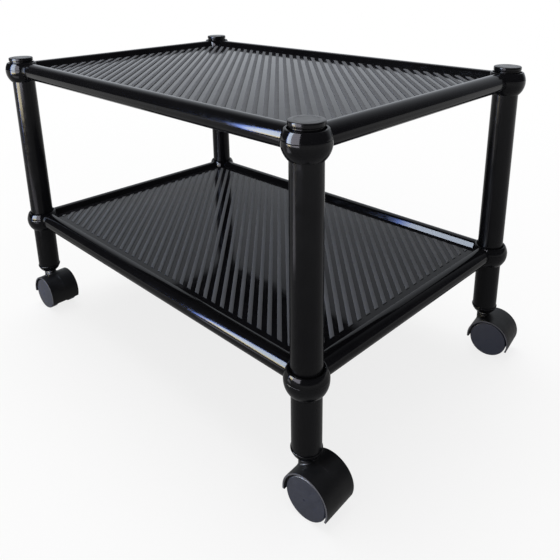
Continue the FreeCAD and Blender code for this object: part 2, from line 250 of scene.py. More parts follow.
def plastic(name, dark, light, roughness, ior, grain, ripple):
    """roughness is its lowest and highest value; grain and ripple are (size, height) in mm."""
    finish, tree = start_finish(name, dark, light, shade_blobs, detail=3)
    shader = tree.nodes["Principled BSDF"]
    shader.inputs["IOR"].default_value = ior
    gloss = ramp(tree, noise(tree, gloss_blobs, detail=5), noise_range, *roughness)
    tree.links.new(gloss, shader.inputs["Roughness"])
    ripple_size, ripple_height = ripple
    grain_size, grain_height = grain
    wavy = bump(tree, noise(tree, ripple_size, detail=1), ripple_height)
    rough = bump(tree, noise(tree, grain_size, detail=2), grain_height, wavy)
    tree.links.new(rough, shader.inputs["Normal"])
    return finish


# %% [markdown]
# Trays and tubes are deep black. The index of real plastic is near 1.5, but a face seen square
# on would then be too much of a mirror for such a black, so the polished ones have a lower one.
# The treads come from an etched part of the mould: lighter, rough and grained.

# %% The finishes of trays and tubes
deck_gloss = plastic(
    "polished_deck", dark=(0.006, 0.006, 0.007), light=(0.010, 0.010, 0.012),
    roughness=(0.05, 0.12), ior=1.2, grain=(0.5, 0.002), ripple=(35, 0.10),
)
polished = plastic(
    "polished_black", dark=(0.004, 0.004, 0.005), light=(0.007, 0.007, 0.008),
    roughness=(0.07, 0.13), ior=1.2, grain=(0.5, 0.002), ripple=(40, 0.02),
)
tube_black = plastic(
    "tube_black", dark=(0.004, 0.004, 0.005), light=(0.007, 0.007, 0.008),
    roughness=(0.12, 0.22), ior=1.2, grain=(0.5, 0.003), ripple=(30, 0.03),
)
grained = plastic(
    "grained_tread", dark=(0.052, 0.052, 0.053), light=(0.066, 0.066, 0.068),
    roughness=(0.62, 0.75), ior=1.5, grain=(0.35, 0.03), ripple=(20, 0.02),
)
cap_satin = plastic(
    "cap_satin", dark=(0.036, 0.037, 0.039), light=(0.046, 0.047, 0.050),
    roughness=(0.26, 0.36), ior=1.35, grain=(0.4, 0.010), ripple=(12, 0.02),
)

# %% [markdown]
# A caster is nylon from another maker's moulds: the hood is satin, and the wheels are a shade
# greyer and bluer, the grey their own and the blue a painted sheen of the blue window. The hood's
# side rims are paler, a painted highlight along them.

# %% The finishes of casters
satin = plastic(
    "satin_hood", dark=(0.005, 0.005, 0.006), light=(0.009, 0.009, 0.010),
    roughness=(0.36, 0.48), ior=1.29, grain=(0.4, 0.012), ripple=(15, 0.02),
)
# painted highlight: a paler grey on the hood's flat side rims stands for a light line along them
painted_rim_highlight = plastic(
    "rim_painted_highlight", dark=(0.070, 0.070, 0.085), light=(0.120, 0.120, 0.140),
    roughness=(0.40, 0.55), ior=1.40, grain=(0.4, 0.012), ripple=(15, 0.02),
)
# the nylon's own grey, with a blue tint that is painted sheen from the blue window
nylon_and_painted_sheen = plastic(
    "nylon_and_painted_sheen", dark=(0.018, 0.022, 0.044), light=(0.028, 0.034, 0.062),
    roughness=(0.36, 0.50), ior=1.44, grain=(0.4, 0.012), ripple=(15, 0.02),
)

# %% [markdown]
# ## The deck
#
# The floor of a tray is one flat plate between the rails. It is polished, so it works as a dark
# mirror, and a plain box is all that a mirror needs. The plate reaches a little way into the
# rails, as it does in the real moulding, so no light shows at its edges.

# %% The polished plate of a deck
rail_inner = 8.5               # from the line of the posts in to the rail's inner wall
deck_top = 3.0                 # above the joint level
deck_under = 0.5
into_rail = 1.2
reach_x = span_x / 2 - rail_inner
reach_y = span_y / 2 - rail_inner


def add_box(bm, x, y, z):
    """Add a box given by its lowest and highest values in mm along each axis."""
    size = Vector((x[1] - x[0], y[1] - y[0], z[1] - z[0])) * mm
    centre = Vector((x[0] + x[1], y[0] + y[1], z[0] + z[1])) * mm / 2
    spot = Matrix.Translation(centre) @ Matrix.Diagonal((*size, 1))
    bmesh.ops.create_cube(bm, size=1, matrix=spot)


def deck_plate(tray):
    bm = bmesh.new()
    far_x = reach_x + into_rail
    far_y = reach_y + into_rail
    add_box(bm, (-far_x, far_x), (-far_y, far_y), (deck_under, deck_top))
    place(bm, Vector((0, 0, levels[tray])))
    finish_piece(f"{tray}_deck", bm, deck_gloss, "frame", "tray_plastic", tray)


for tray in levels:
    deck_plate(tray)

# %% [markdown]
# ## The treads
#
# Low strips with a grained top cross the deck at 45 degrees, so that what stands on it doesn't
# slide. A bump texture could draw them, but it would have no height from the side. So one strip
# gets bevelled edges, copies of it are set out at an even pitch, and four cuts trim the whole
# field, which leaves a smooth border along the rails. Cutting once is quicker than working out
# each strip's length, and gives the slanted ends for nothing.

# %% Bevel edges, and cut with a plane
def bevel_edges(bm, edges, size, segments):
    bmesh.ops.bevel(
        bm, geom=edges, offset=size * mm, offset_type="OFFSET", segments=segments,
        profile=0.5, affect="EDGES", material=-1, clamp_overlap=True,
    )


def trim(bm, point, outward):
    """Cut a closed mesh with a plane, drop what lies outward of it and close the cut."""
    cut = bmesh.ops.bisect_plane(
        bm, geom=bm.verts[:] + bm.edges[:] + bm.faces[:], dist=least_length,
        plane_co=point, plane_no=outward, clear_outer=True,
    )["geom_cut"]
    rim = [item for item in cut if isinstance(item, bmesh.types.BMEdge)]
    bmesh.ops.edgenet_fill(bm, edges=rim)


# %% Diagonal treads
tread_pitch = 15.0             # measured along a rail
tread_turn = 135               # degrees from the long side of the tray
tread_width = 4.8
tread_height = 0.8
tread_sunk = 0.4
tread_edge = 0.35
tread_inset = 12.5             # a smooth border is left along the rails


def tread_strip(bm, half_length):
    """One strip along X, with its two long upper edges rounded."""
    half = tread_width / 2
    top = deck_top + tread_height
    add_box(bm, (-half_length, half_length), (-half, half), (deck_top - tread_sunk, top))
    middle_level = (deck_top + top) / 2 * mm
    upper = [e for e in bm.edges if min(v.co.z for v in e.verts) > middle_level]
    long_edges = [e for e in upper if e.calc_length() > half_length * mm]
    bevel_edges(bm, long_edges, tread_edge, segments=2)


def treads(tray):
    bm = bmesh.new()
    half_length = reach_x + reach_y
    tread_strip(bm, half_length)
    turn_about_z(bm, tread_turn)
    strip = bm.verts[:] + bm.edges[:] + bm.faces[:]
    count = math.ceil(half_length / tread_pitch)
    for i in range(-count, count + 1):
        if i != 0:
            copy = bmesh.ops.duplicate(bm, geom=strip)["geom"]
            new = [item for item in copy if isinstance(item, bmesh.types.BMVert)]
            bmesh.ops.translate(bm, vec=(i * tread_pitch * mm, 0, 0), verts=new)
    end_x = (reach_x - tread_inset) * mm
    end_y = (reach_y - tread_inset) * mm
    for side in (-1, 1):
        trim(bm, (side * end_x, 0, 0), (side, 0, 0))
        trim(bm, (0, side * end_y, 0), (0, side, 0))
    place(bm, Vector((0, 0, levels[tray])))
    finish_piece(f"{tray}_treads", bm, grained, "frame", "tray_plastic", tray)


for tray in levels:
    treads(tray)

# %% [markdown]
# ## The rails
#
# A rail looks like a tube from outside, but it is a moulded channel: round outside, with a flat
# wall that slants from its crest down to the deck, a skirt below that, and an open underside so
# that the mould can pull out of it. A curve with a bevel object could sweep such a section, but
# extruding it keeps the mesh in hand. One point more, partway down the slanted wall, stops the
# rounded lip above from bending the wall's shading.

# %% The section of a rail
rail_r = 11.0
rail_inset = 1.5               # centre of the round side, inwards from the line of the posts
rail_crest = 5.4               # from that centre to the inner edge of the crest
rail_slope = 5.0               # the inner part of the crest slopes a little towards the deck
rail_slope_drop = 0.45
rail_foot = 9.6                # the inner wall slants down to here, a little into the deck
rail_foot_level = 2.0
rail_support = 0.7             # the extra point's place, as a share of the way up that wall
rail_skirt_face = 7.0          # below the deck the wall goes on upright, at this distance
rail_wall = 2.4
rail_wrap = 68                 # degrees that the round side goes on below the horizontal
rail_skirt = 9.0               # depth of the inner wall below the joint level
rail_lip = 1.8                 # rounding between crest and inner wall


def rail_outline():
    """(outward, up) points from the centre of the round side, and the corner to round."""
    outer = arc((0, 0), rail_r, 90, -rail_wrap, steps=24)
    inner = arc((0, 0), rail_r - rail_wall, -rail_wrap, 90, steps=20)
    wall = rail_wall - rail_skirt_face
    points = [(-rail_crest, rail_r - rail_slope_drop), (rail_slope - rail_crest, rail_r)]
    points += outer + inner + [(wall, rail_r - rail_wall), (wall, -rail_skirt)]
    points += [(-rail_skirt_face, -rail_skirt), (-rail_skirt_face, rail_foot_level)]
    foot, crest = (-rail_foot, rail_foot_level), points[0]
    points += [foot, tuple(a + rail_support * (b - a) for a, b in zip(foot, crest))]
    return points, [(0, rail_lip)]


print("the section of a rail has", len(rail_outline()[0]), "points")

# %% [markdown]
# The section is extruded to length and turned to each side. A straight cut at its ends would
# stick out inside a corner ball or leave a gap beside it. So every point of an end is pulled
# back to a circle round the post, and the end stops inside the wall of the ball.

# %% Four rails for each tray
rail_end_r = 17.6              # the ends stop on this circle round the post


def rail(length, distance, turn_degrees):
    """One rail, first along Y on the +X side, then turned about Z to its own side."""
    bm = bmesh.new()
    points, rounds = rail_outline()
    outline(bm, points, rounds, steps=5)
    sheet = bmesh.ops.extrude_edge_only(bm, edges=bm.edges[:])["geom"]
    far = [item for item in sheet if isinstance(item, bmesh.types.BMVert)]
    bmesh.ops.translate(bm, vec=(0, length * mm, 0), verts=far)
    place(bm, (-rail_inset * mm, -length / 2 * mm, 0))
    for vert in bm.verts:
        back = math.sqrt((rail_end_r * mm) ** 2 - vert.co.x ** 2)
        vert.co.y = math.copysign(length / 2 * mm - back, vert.co.y)
    bmesh.ops.holes_fill(bm, edges=bm.edges, sides=0)
    place(bm, (distance * mm, 0, 0))
    turn_about_z(bm, turn_degrees)
    return bm


rail_sides = {
    "front": (span_x, span_y / 2, -90),
    "rear": (span_x, span_y / 2, 90),
    "right": (span_y, span_x / 2, 0),
    "left": (span_y, span_x / 2, 180),
}
for tray, level in levels.items():
    for side, size in rail_sides.items():
        bm = place(rail(*size), Vector((0, 0, level)))
        finish_piece(f"{tray}_{side}_rail", bm, polished, "frame", "tray_plastic", tray)

# %% [markdown]
# ## Ribs below the deck
#
# A thin flat moulding would sag, so its underside has a grid of ribs, and short webs go on from
# them inside the rails. They show only from low down, so plain plates with a small bevel will
# do. The bevel is what catches the light, and a plate without one looks drawn, not moulded.

# %% The grid of ribs
rib_thickness = 1.8
rib_bottom = -5.5
rib_top = 1.0
rib_edge = 0.25
rib_bays = (10, 7)
web_reach = 7.2                # from the deck's edge to where a web stops inside the rail
web_bottom = -4.0


def stations(bays, span):
    return [span * (i / bays - 0.5) for i in range(1, bays)]


def web_ends(reach, side):
    """Where a web in a rail starts and ends, beyond the ribs."""
    start = reach + rail_wall
    return sorted((side * start, side * (start + web_reach)))


def ribs(tray):
    bm = bmesh.new()
    half = rib_thickness / 2
    rib_z = (rib_bottom, rib_top)
    web_z = (web_bottom, rib_top + rail_wall)
    for x in stations(rib_bays[0], span_x):
        add_box(bm, (x - half, x + half), (-reach_y, reach_y), rib_z)
        for side in (-1, 1):
            add_box(bm, (x - half, x + half), web_ends(reach_y, side), web_z)
    for y in stations(rib_bays[1], span_y):
        add_box(bm, (-reach_x, reach_x), (y - half, y + half), rib_z)
        for side in (-1, 1):
            add_box(bm, web_ends(reach_x, side), (y - half, y + half), web_z)
    bevel_edges(bm, bm.edges[:], rib_edge, segments=1)
    place(bm, Vector((0, 0, levels[tray])))
    finish_piece(f"{tray}_ribs", bm, tube_black, "frame", "tray_plastic", tray)


for tray in levels:
    ribs(tray)

# %% [markdown]
# ## The corner balls
#
# Each corner of a tray is a ball with a flat rim. A post or a cap stands in its mouth with a
# dark gap all round, and the tube below pushes up into it. A hair-thin seam runs round the ball
# just above its middle, where the two halves of the mould met. A UV sphere would have neither
# mouth nor seam, so the ball is turned from two arcs with the seam's ridge between them.

# %% Corner balls with their mould seam
ball_r = 22.0
ball_rim = 11.5                # height of the flat rim
rim_edge = 0.8
mouth_r = 16.7
mouth_edge = 0.4
seat_r = 12.7
seat_top = 1.0
seat_under = -6.0
tube_hole_r = 15.2
seam_height = 2.6
seam_rise = 0.12
seam_half = 0.22
skin_r = ball_r - seam_rise


def ball_angle(height):
    return math.degrees(math.asin(height / skin_r))


def corner_ball():
    foot = -ball_foot_depth
    above_seam = ball_angle(seam_height + seam_half)
    below_seam = ball_angle(seam_height - seam_half)
    upper = arc((0, 0), skin_r, ball_angle(ball_rim), above_seam, steps=12)
    lower = arc((0, 0), skin_r, below_seam, ball_angle(foot), steps=22)
    seam_r = math.sqrt(ball_r ** 2 - seam_height ** 2)
    points = [(mouth_r, seat_top), (mouth_r, ball_rim)] + upper + [(seam_r, seam_height)] + lower
    points += [(tube_hole_r, foot), (tube_hole_r, seat_under)]
    points += [(seat_r, seat_under), (seat_r, seat_top)]
    return turned(points, rounds=[(1, mouth_edge), (2, rim_edge)], steps=128)


for tray, level in levels.items():
    for name, spot in corners.items():
        bm = place(corner_ball(), Vector((spot.x, spot.y, level)))
        finish_piece(f"{tray}_{name}_ball", bm, polished, "frame", "tray_plastic", tray)

# %% [markdown]
# ## Posts and legs
#
# The tubes are plain, so their finish has to carry them. A post widens a little towards its
# foot, which helps it out of the mould. Smooth shading would spread the bevel of an end along
# the whole side, so an extra ring near each end keeps the long reflections straight.

# %% Tubes
tube_r = 15.0
tube_foot_r = 15.5
tube_bore_r = 12.7
tube_edge = 0.5
leg_foot_edge = 0.15           # a leg stands on its foot with hardly a gap
end_band = 1.5                 # how far that extra ring is from each end


def tube(node_name, foot_r, foot_edge, foot_shift=0):
    low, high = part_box(node_name)
    foot = (low.z / mm) + foot_shift
    top = high.z / mm
    points = [
        (tube_bore_r, foot), (foot_r, foot), (foot_r, foot + end_band),
        (tube_r, top - end_band), (tube_r, top), (tube_bore_r, top),
    ]
    return turned(points, rounds=[(1, foot_edge), (4, tube_edge)])


plug_below_seat = levels["bottom_tray"] / mm + seat_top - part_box("front_left_post")[0].z / mm
for name, spot in corners.items():
    floor_spot = Vector((spot.x, spot.y, 0))
    bm = place(tube(f"{name}_post", tube_foot_r, tube_edge, plug_below_seat), floor_spot)
    finish_piece(f"{name}_post_tube", bm, tube_black, "frame", "gloss_black_plastic",
                 f"{name}_post")
    bm = place(tube(f"{name}_leg", tube_r, leg_foot_edge), floor_spot)
    finish_piece(f"{name}_leg_tube", bm, tube_black, "frame", "gloss_black_plastic",
                 f"{name}_leg")

# %% [markdown]
# ## Caps
#
# A cap is a mushroom that closes the top of a corner: a neck in the ball's mouth under a
# slightly wider disc. Its flat top is duller than its polished side and has a shallow ring, which
# the ejector of such moulds leaves. One outline gives all of it, and the faces near the top get
# the satin finish by their height.

# %% Caps
cap_top = 18.3
cap_top_edge = 1.3
cap_disc_r = 15.9
cap_disc_height = 4.4
cap_disc_edge = 0.4
cap_neck_r = 14.8
cap_flare = 0.8                # the neck starts to widen this far below the disc
cap_ring_r = 11.0
cap_ring_depth = 0.12
cap_ring_width = 0.5
cap_satin_level = 17.9         # faces above this are satin


def cap():
    under = cap_top - cap_disc_height
    ring_in = cap_ring_r - cap_ring_width
    ring_floor = cap_top - cap_ring_depth
    points = [
        (0, seat_top), (cap_neck_r, seat_top), (cap_neck_r, under - cap_flare),
        (cap_disc_r, under), (cap_disc_r, cap_top), (cap_ring_r, cap_top),
        (cap_ring_r, ring_floor), (ring_in, ring_floor), (ring_in, cap_top), (0, cap_top),
    ]
    return turned(points, rounds=[(3, cap_disc_edge), (4, cap_top_edge)])


top_level = levels["top_tray"]
for name, spot in corners.items():
    bm = place(cap(), Vector((spot.x, spot.y, top_level)))
    for face in bm.faces:
        height = face.calc_center_median().z - top_level
        face.material_index = int(height > cap_satin_level * mm)
    finish_piece(f"{name}_cap_disc", bm, tube_black, "frame", "gloss_black_plastic",
                 f"{name}_cap", second_finish=cap_satin)

# %% [markdown]
# ## Feet
#
# A foot closes each leg with a small flange and a rounded end, and holds the caster's stem. The
# rounded end could be a bevel, but it is part of a sphere, so its centre is worked out from the
# two edges that it runs through.

# %% Feet
foot_flange_r = 15.8
foot_flange_top = 10.7         # above the end face of the foot
foot_flange_under = 8.5
foot_flange_edges = (0.7, 0.9)  # upper and lower
foot_dome_r = 15.5             # where the dome leaves the flange
foot_end_r = 9.2
foot_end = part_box("front_left_foot")[0].z


def foot():
    """The dome is part of a sphere through the flange's edge and the end face's edge."""
    rise = foot_dome_r ** 2 - foot_end_r ** 2 + foot_flange_under ** 2
    centre = rise / (2 * foot_flange_under)
    sphere_r = math.hypot(foot_end_r, centre)
    start = math.degrees(math.atan2(foot_flange_under - centre, foot_dome_r))
    end = math.degrees(math.atan2(-centre, foot_end_r))
    points = [(0, foot_flange_top), (foot_flange_r, foot_flange_top)]
    points += [(foot_flange_r, foot_flange_under)]
    points += arc((0, centre), sphere_r, start, end, steps=14) + [(0, 0)]
    return turned(points, rounds=list(zip((1, 2), foot_flange_edges)))


for name, spot in corners.items():
    bm = place(foot(), Vector((spot.x, spot.y, foot_end)))
    finish_piece(f"{name}_foot_end", bm, tube_black, "frame", "gloss_black_plastic",
                 f"{name}_foot")

# %% [markdown]
# ## Casters
#
# Every caster is the same product turned its own way. It is built once in its own place, with
# the swivel axis up and the axle along Y, and then set on its corner with a matrix made from the
# frame's joints: the swivel joint says where it stands and the wheel's joint where the axle is.

# %% Where each caster stands and which way it trails
def caster_matrix(name):
    swivel = Vector(joints[f"{name}_swivel"]["pos_m"])
    axle = Vector(joints[f"{name}_left_roll"]["pos_m"])
    trail = axle - swivel
    turn = Matrix.Rotation(math.atan2(trail.y, trail.x), 4, "Z")
    return Matrix.Translation((swivel.x, swivel.y, 0)) @ turn


axle_joint = Vector(joints["front_left_left_roll"]["pos_m"])
swivel_joint = Vector(joints["front_left_swivel"]["pos_m"])
caster_trail = (axle_joint - swivel_joint).to_2d().length / mm
axle_level = axle_joint.z / mm
print("trail", round(caster_trail, 2), "axle level", round(axle_level, 2))

# %% [markdown]
# The wheel is a dished disc that hides its own tread from the side. Its outline is spun about Z
# and then laid on its side. The face is part of a large sphere rather than flat, so its sheen
# rolls off softly, with a small mark in the middle where the plastic flowed in.

# %% The outline of a wheel
wheel_r = axle_level
wheel_inner = 9.2              # where the tread starts, from the middle of the caster
wheel_outer = 20.0             # the edge of the face, from the middle of the caster
wheel_dome = 1.0               # how far the face bulges beyond its edge
wheel_face_r = wheel_r - 1.6
wheel_tread_edges = (1.6, 1.2)  # inner and outer
wheel_shoulder = 1.0           # the tread ends this far in from the edge of the face
wheel_face_step = 0.5          # a narrow flat ring round the face
wheel_face_edge = 0.3
wheel_bore_r = wheel_r - 3.0
wheel_boss_r = 6.5
wheel_plate = wheel_outer - 3.0
wheel_hole_r = 4.0
wheel_hole_end = wheel_outer - 3.5
wheel_mark_r = 1.3
wheel_mark = wheel_outer + wheel_dome - 0.35


def wheel():
    dome_r = (wheel_face_r ** 2 + wheel_dome ** 2) / (2 * wheel_dome)
    centre = wheel_outer + wheel_dome - dome_r
    start = math.degrees(math.acos(wheel_face_r / dome_r))
    end = math.degrees(math.acos(wheel_mark_r / dome_r))
    points = [
        (wheel_hole_r, wheel_inner), (wheel_boss_r, wheel_inner), (wheel_boss_r, wheel_plate),
        (wheel_bore_r, wheel_plate), (wheel_bore_r, wheel_inner), (wheel_r, wheel_inner),
        (wheel_r, wheel_outer - wheel_shoulder), (wheel_face_r + wheel_face_step, wheel_outer),
    ]
    points += arc((0, centre), dome_r, start, end, steps=16) + [(wheel_mark_r, wheel_mark)]
    points += [(0, wheel_mark), (0, wheel_hole_end), (wheel_hole_r, wheel_hole_end)]
    edges = (*wheel_tread_edges, wheel_face_edge)
    return turned(points, rounds=list(zip((5, 6, 7), edges)))


# %% Eight wheels on their axles
def laid(bm, flip):
    """Lay a shape spun about Z along the axle, outward to +Y, or to -Y when flipped."""
    tilt = Matrix.Rotation(math.radians(90 if flip else -90), 4, "X")
    spot = Matrix.Translation((caster_trail * mm, 0, axle_level * mm))
    bmesh.ops.transform(bm, matrix=spot @ tilt, verts=bm.verts)
    return bm


for name in corner_names:
    across = caster_matrix(name).to_3x3() @ Vector((0, 1, 0))
    for side in ("left", "right"):
        node_name = f"{name}_{side}_wheel"
        along = middle(node_name) - Vector(joints[f"{name}_swivel"]["pos_m"])
        bm = laid(wheel(), along.dot(across) < 0)
        bmesh.ops.transform(bm, matrix=caster_matrix(name), verts=bm.verts)
        finish_piece(f"{node_name}_disc", bm, nylon_and_painted_sheen, node_name, "wheel_plastic", node_name)

# %% [markdown]
# The hood is a curved cover over both wheels. A slice of a tube would have square corners and
# sharp rims. So the section of its wall, with a fine parting groove in the middle, is spun part
# of the way round the axle, the open ends are closed, their corners are rounded, and the rim
# gets a small bevel that catches the light. The flat side rims get the paler second finish, a
# painted highlight along them.

# %% The sizes of a cover, and which of its edges are corners
hood_r = 27.0
hood_wall = 2.0
hood_half = 21.3
hood_front = 188               # degrees round the axle, from the direction it trails in
hood_rear = -24
hood_corner = 3.0
hood_rim = 0.45
hood_rim_angle = 55            # edges that bend by more degrees than this belong to the rim
hood_groove = 0.12
hood_band = 1.4                # an extra ring beside each rim keeps the cover straight across


def at_side(vert):
    return abs(abs(vert.co.z) - hood_half * mm) < weld_distance


def is_end_corner(edge):
    """True for the short edges through the wall at the corners of the two open ends."""
    radii = [vert.co.to_2d().length for vert in edge.verts]
    crosses_wall = abs(radii[0] - radii[1]) > 0.9 * hood_wall * mm
    at_end = any(len(face.verts) > 4 for face in edge.link_faces)
    return crosses_wall and all(at_side(vert) for vert in edge.verts) and at_end


print("the cover reaches over", hood_front - hood_rear, "degrees")

# %% Spin and round the cover
def hood_cover():
    bm = bmesh.new()
    inner = hood_r - hood_wall
    band = hood_half - hood_band
    points = [
        (inner, -hood_half), (hood_r, -hood_half), (hood_r, -band), (hood_r, -hood_groove),
        (hood_r - hood_groove, 0), (hood_r, hood_groove), (hood_r, band), (hood_r, hood_half),
        (inner, hood_half),
    ]
    outline(bm, points)
    turn_about_z(bm, -hood_rear)
    bmesh.ops.spin(
        bm, geom=bm.verts[:] + bm.edges[:], cent=(0, 0, 0), axis=(0, 0, 1), dvec=(0, 0, 0),
        angle=math.radians(hood_rear - hood_front), steps=90, use_merge=False,
        use_duplicate=False,
    )
    bmesh.ops.holes_fill(bm, edges=bm.edges, sides=0)
    corners_of_ends = [e for e in bm.edges if is_end_corner(e)]
    bevel_edges(bm, corners_of_ends, hood_corner, segments=6)
    bmesh.ops.recalc_face_normals(bm, faces=bm.faces)
    sharp = math.radians(hood_rim_angle)
    rims = [e for e in bm.edges if e.is_manifold and e.calc_face_angle() > sharp]
    bevel_edges(bm, rims, hood_rim, segments=3)
    # the faces of the flat side rims get the second finish, a painted highlight
    for face in bm.faces:
        face.material_index = int(all(at_side(vert) for vert in face.verts))
    return bm


# %% [markdown]
# The neck carries the hood on the stem and flares out where it meets the cover. Neck and cover
# could be joined with a boolean and the seam bevelled, which often fails on a curved wall. Here
# the rounded corner is a turned ring, and each of its points is lifted to lie on the cover.

# %% The neck and the corner below it
neck_r = 8.2
neck_bore_r = 4.1
neck_edge = 0.5
neck_gap = 1.7                 # below the end face of the foot
neck_top = foot_end / mm - neck_gap
neck_bottom = axle_level - 3.0
neck_corner_r = 2.0
corner_inside_r = neck_r - 0.6
corner_sunk = 0.8              # how far the ring reaches into the cover
corner_top_gap = 0.4


def neck():
    points = [(neck_bore_r, neck_bottom), (neck_r, neck_bottom), (neck_r, neck_top)]
    return turned(points + [(neck_bore_r, neck_top)], rounds=[(2, neck_edge)])


def cover_height(x):
    """The level of the cover's outside above the floor, straight above a point of the floor."""
    return axle_level * mm + math.sqrt((hood_r * mm) ** 2 - (x - caster_trail * mm) ** 2)


def neck_corner():
    outer_r = neck_r + neck_corner_r
    points = arc((outer_r, neck_corner_r), neck_corner_r, 180, 270, steps=6)
    points += [(outer_r, -corner_sunk), (corner_inside_r, -corner_sunk)]
    bm = turned(points + [(corner_inside_r, neck_corner_r)])
    for vert in bm.verts:
        highest = (neck_top - corner_top_gap) * mm
        vert.co.z = min(vert.co.z + cover_height(vert.co.x), highest)
    return bm


print("the neck stands", round(neck_top - neck_bottom, 2), "mm high")

# %% [markdown]
# Between the wheels a plate joins the cover to a hub on the axle. The plate is one flat face,
# part of a disc with room below the neck for the stem's head, and one extrusion thickens it.

# %% The web and the hub
web_half = 2.2                 # half of the plate's thickness
web_spokes = 40
web_notch = -3.0               # room for the stem's head, below the level of the axle
web_notch_from = -14.2         # where that room starts and ends, from the axle
web_notch_to = -20.4
web_heel = -4.4
hub_r = 6.2
hub_bore_r = 3.05
hub_half = 8.9


def web():
    bm = bmesh.new()
    rim = arc((0, 0), hood_r - hood_wall / 2, hood_front, hood_rear, web_spokes)
    below_neck = [
        (0, 0), (web_notch_from, web_notch), (web_notch_to, web_notch), (web_notch_to, web_heel),
    ]
    ring = [bm.verts.new((x * mm, -web_half * mm, z * mm)) for x, z in rim + below_neck]
    side = bm.faces.new(ring)
    other = bmesh.ops.extrude_face_region(bm, geom=[side])["geom"]
    verts = [item for item in other if isinstance(item, bmesh.types.BMVert)]
    bmesh.ops.translate(bm, vec=(0, 2 * web_half * mm, 0), verts=verts)
    return place(bm, (caster_trail * mm, 0, axle_level * mm))


def hub():
    points = [(hub_bore_r, -hub_half), (hub_r, -hub_half), (hub_r, hub_half)]
    return laid(turned(points + [(hub_bore_r, hub_half)]), False)


# %% [markdown]
# The five parts of a hood overlap a little and ride on the same body, so they look and move like
# one moulding. A boolean union of them would show nothing more, and could fail.

# %% Four hoods, each put together from its parts
for name in corner_names:
    parts = {
        "cover": laid(hood_cover(), False), "neck": neck(), "neck_corner": neck_corner(),
        "web": web(), "hub": hub(),
    }
    for part, bm in parts.items():
        bmesh.ops.transform(bm, matrix=caster_matrix(name), verts=bm.verts)
        finish_piece(f"{name}_hood_{part}", bm, satin, f"{name}_caster", "hood_plastic",
                     f"{name}_hood", second_finish=painted_rim_highlight if part == "cover" else None)

# %% [markdown]
# ## Steel parts
#
# Stems, axles and grip rings stay as the CAD model has them: they are plain turned parts that
# hardly show. They only get a zinc finish, a pale metal with fine streaks in its roughness.

# %% Zinc-plated steel on the kept CAD parts
def zinc():
    finish, tree = start_finish(
        "zinc_plate", dark=(0.50, 0.51, 0.53), light=(0.62, 0.62, 0.60), blobs=6, detail=4,
    )
    shader = tree.nodes["Principled BSDF"]
    shader.inputs["Metallic"].default_value = 1.0
    gloss = ramp(tree, noise(tree, size=2, detail=5), noise_range, low=0.25, high=0.42)
    tree.links.new(gloss, shader.inputs["Roughness"])
    grain = bump(tree, noise(tree, size=0.4, detail=2), height=0.01)
    tree.links.new(grain, shader.inputs["Normal"])
    return finish


steel = zinc()
steel_nodes = ["grip_rings"]
steel_nodes += [f"{name}_{part}" for name in corner_names for part in ("stem", "axle")]
for node_name in steel_nodes:
    kept = frame["nodes"][node_name]
    kept.data.materials.clear()
    kept.data.materials.append(steel)
print("steel on", len(steel_nodes), "nodes")

# %% [markdown]
# ## The room
#
# Black plastic shows what is around it more than its own colour, so the room matters as much as
# the finish. The trolley stands on a white floor in front of a white background, and the room
# towards the viewer is dim. A white room all round would turn the plastic grey, and a dark one
# would give a dark background. So the kinds of ray are told apart: each can see another room.

# %% Helpers that tell kinds of ray apart
def whichever(tree, *kinds):
    """1 for rays of the given kinds, such as Is Camera Ray, and 0 for all others."""
    paths = tree.nodes.new("ShaderNodeLightPath")
    total = paths.outputs[kinds[0]]
    for kind in kinds[1:]:
        added = tree.nodes.new("ShaderNodeMath")
        added.operation = "ADD"
        tree.links.new(total, added.inputs[0])
        tree.links.new(paths.outputs[kind], added.inputs[1])
        total = added.outputs["Value"]
    return total


def mixed(tree, factor, first, second):
    """A blend of two colours, or of a linked value and a colour."""
    blend = tree.nodes.new("ShaderNodeMix")
    blend.data_type = "RGBA"
    for name, value in (("A", first), ("B", second)):
        if isinstance(value, tuple):
            blend.inputs[name].default_value = (*value, 1)
        else:
            tree.links.new(value, blend.inputs[name])
    tree.links.new(factor, blend.inputs["Factor"])
    return blend.outputs["Result"]


# %% [markdown]
# A ray from the camera sees plain white. A mirrored ray sees near-white walls behind the trolley
# and dim ones elsewhere, blended by how near its direction is to the bright side. All other
# rays, which carry the soft light that falls on the surfaces, get an even grey.

# %% World
bright_side = Vector((-0.50, 0.86, 0.12)).normalized()
bright_range = (0.35, 0.86)    # how near to that direction the walls start and end to brighten
bright_colour = (0.80, 0.84, 0.90)
dim_colour = (0.07, 0.07, 0.08)
ambient = (0.55, 0.55, 0.55)
white = (1.0, 1.0, 1.0)

world = bpy.data.worlds.new("room")
bpy.context.scene.world = world
world.use_nodes = True
tree = world.node_tree
direction = tree.nodes.new("ShaderNodeTexCoord")
towards = tree.nodes.new("ShaderNodeVectorMath")
towards.operation = "DOT_PRODUCT"
towards.inputs[1].default_value = bright_side
tree.links.new(direction.outputs["Generated"], towards.inputs[0])
nearness = ramp(tree, towards.outputs["Value"], bright_range, low=0, high=1)
nearness.node.interpolation_type = "SMOOTHSTEP"
walls = mixed(tree, nearness, dim_colour, bright_colour)
around = mixed(tree, whichever(tree, "Is Glossy Ray", "Is Transmission Ray"), ambient, walls)
around = mixed(tree, whichever(tree, "Is Camera Ray"), around, white)
tree.links.new(around, tree.nodes["Background"].inputs["Color"])
print("the world has", len(tree.nodes), "nodes")

# %% [markdown]
# The floor is a large white plane. A plain lit one would end in a grey horizon. For the camera
# and for mirrored rays it is therefore partly a plain white, more so further off, so that it
# runs into the background. Near the trolley, a mirrored ray sees that white dimmer than the
# camera does: a painted shade that stands for the trolley's shadow on the floor in reflections.
# The rest of it is lit like any surface and keeps the soft shadow.

